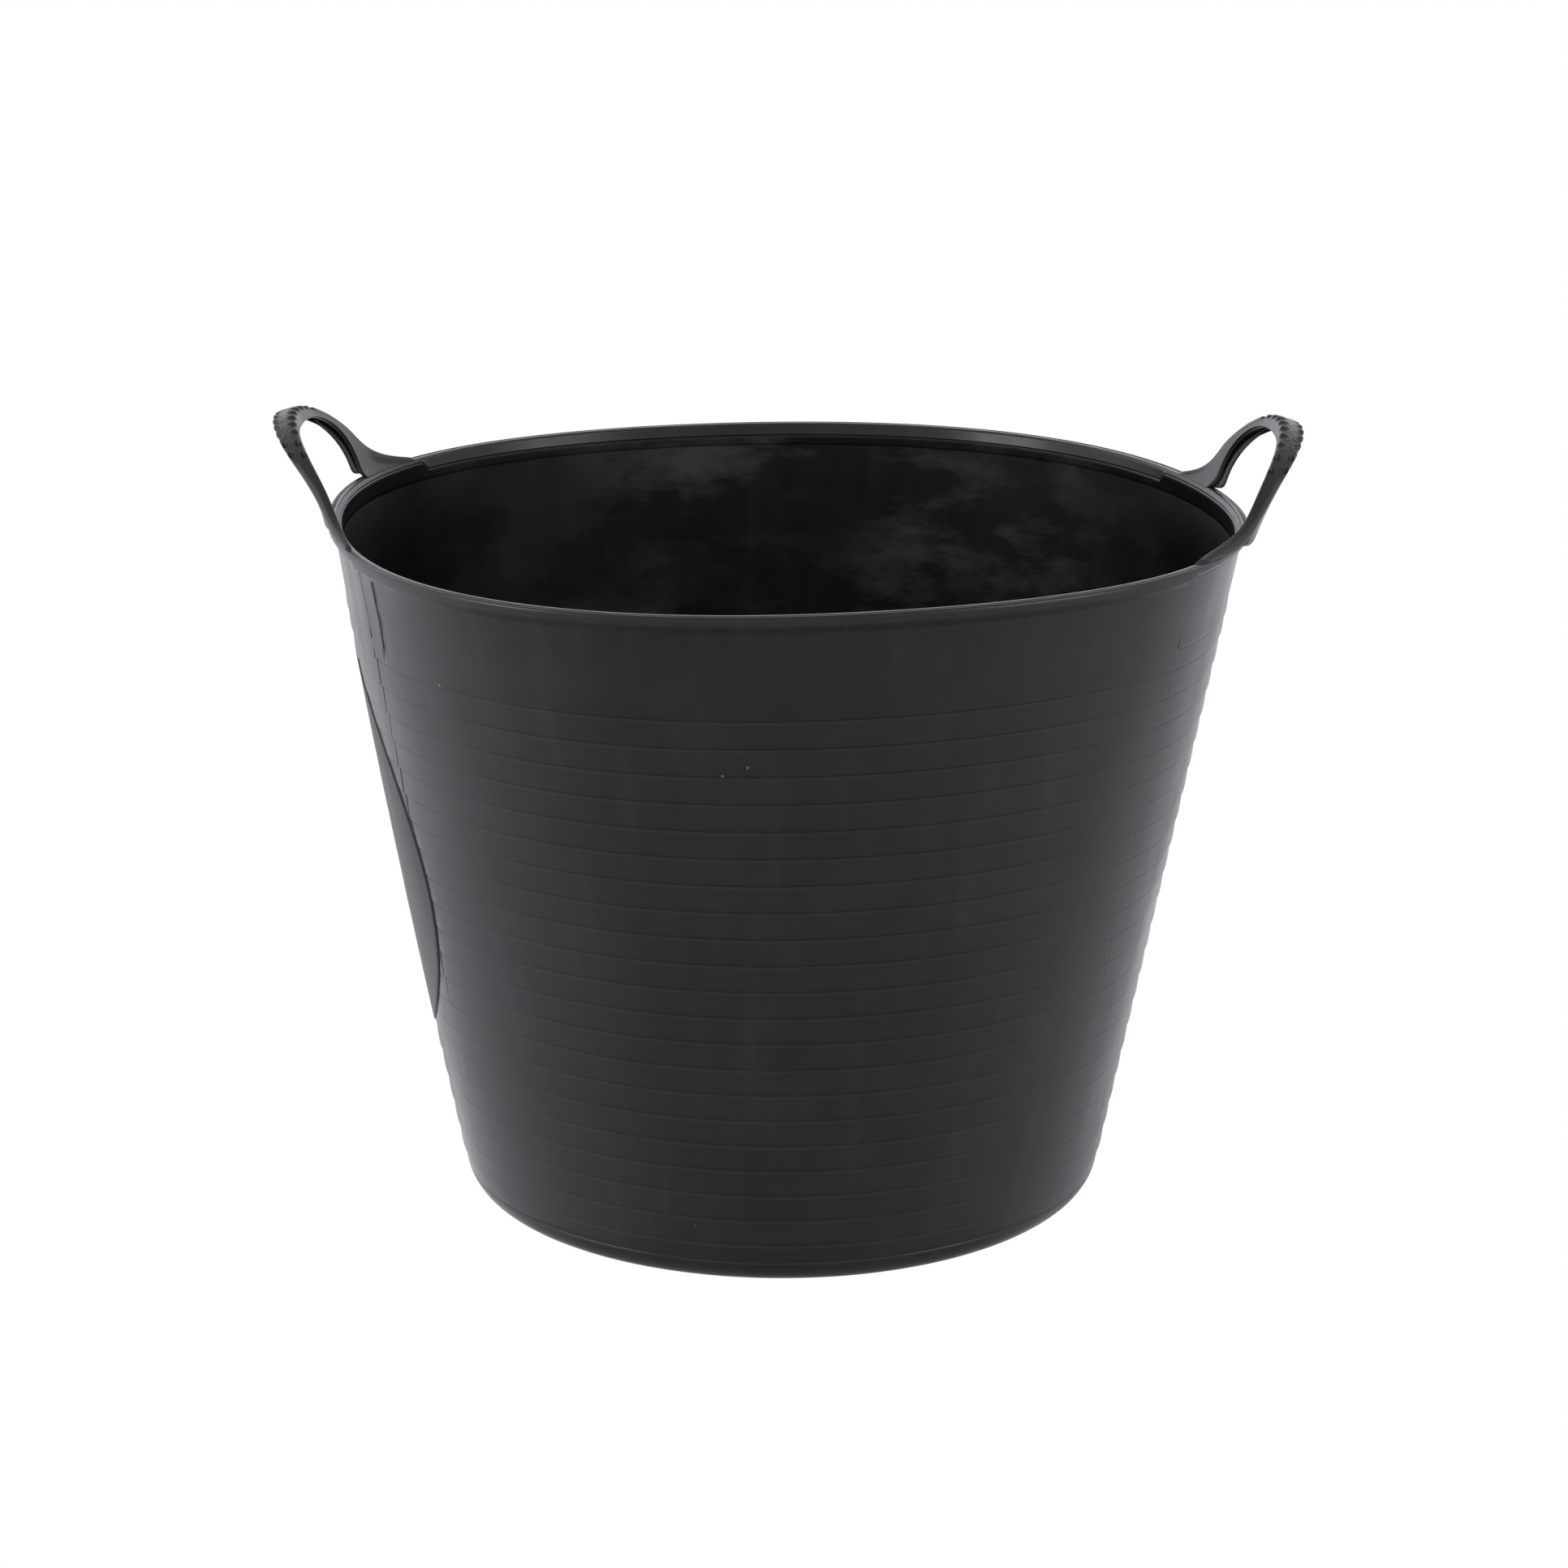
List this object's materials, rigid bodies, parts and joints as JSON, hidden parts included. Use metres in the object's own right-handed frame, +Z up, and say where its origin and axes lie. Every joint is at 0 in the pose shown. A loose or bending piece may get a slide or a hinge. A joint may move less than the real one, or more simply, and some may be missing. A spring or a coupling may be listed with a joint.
{
  "type": "mortar mixing tub",
  "caption": "Round flexible mixing tub with a tapered, ring-stepped wall, thick rolled rim and two looped carrying handles that flex.",
  "frame": {"origin": "centre of the tub on the ground plane that its base stands on", "axes": "+Z up; +X from the centre towards the right handle, so the handles stand on +X and -X; -Y towards the front"},
  "size_m": [0.4903, 0.45, 0.3857],
  "materials": {
    "tub_plastic": "satin moulded polyethylene, charcoal black",
    "panel_plastic": "smooth moulded polyethylene, charcoal black",
    "handle_plastic": "satin moulded polyethylene, charcoal black"
  },
  "bodies": {
    "tub": {"wall_shell": "tub_plastic", "base_panel": "tub_plastic", "rim_band": "tub_plastic", "badge_panel": "panel_plastic", "left_front_web": "handle_plastic", "left_back_web": "handle_plastic", "right_front_web": "handle_plastic", "right_back_web": "handle_plastic", "left_front_lug": "handle_plastic", "left_back_lug": "handle_plastic", "right_front_lug": "handle_plastic", "right_back_lug": "handle_plastic"},
    "left_handle": {"left_grip_skin": "handle_plastic", "left_inner_flange": "handle_plastic", "left_outer_flange": "handle_plastic", "left_leg_ribs": "handle_plastic"},
    "right_handle": {"right_grip_skin": "handle_plastic", "right_inner_flange": "handle_plastic", "right_outer_flange": "handle_plastic", "right_leg_ribs": "handle_plastic"}
  },
  "joints": [
    {"name": "left_handle_flex", "type": "hinge", "parent": "tub", "child": "left_handle", "pos_m": [-0.214, 0, 0.3484], "axis": [0, 1, 0], "range_deg": [-20, 55], "stiffness_Nm_per_rad": 1.4},
    {"name": "right_handle_flex", "type": "hinge", "parent": "tub", "child": "right_handle", "pos_m": [0.214, 0, 0.3484], "axis": [0, -1, 0], "range_deg": [-20, 55], "stiffness_Nm_per_rad": 1.4}
  ]
}
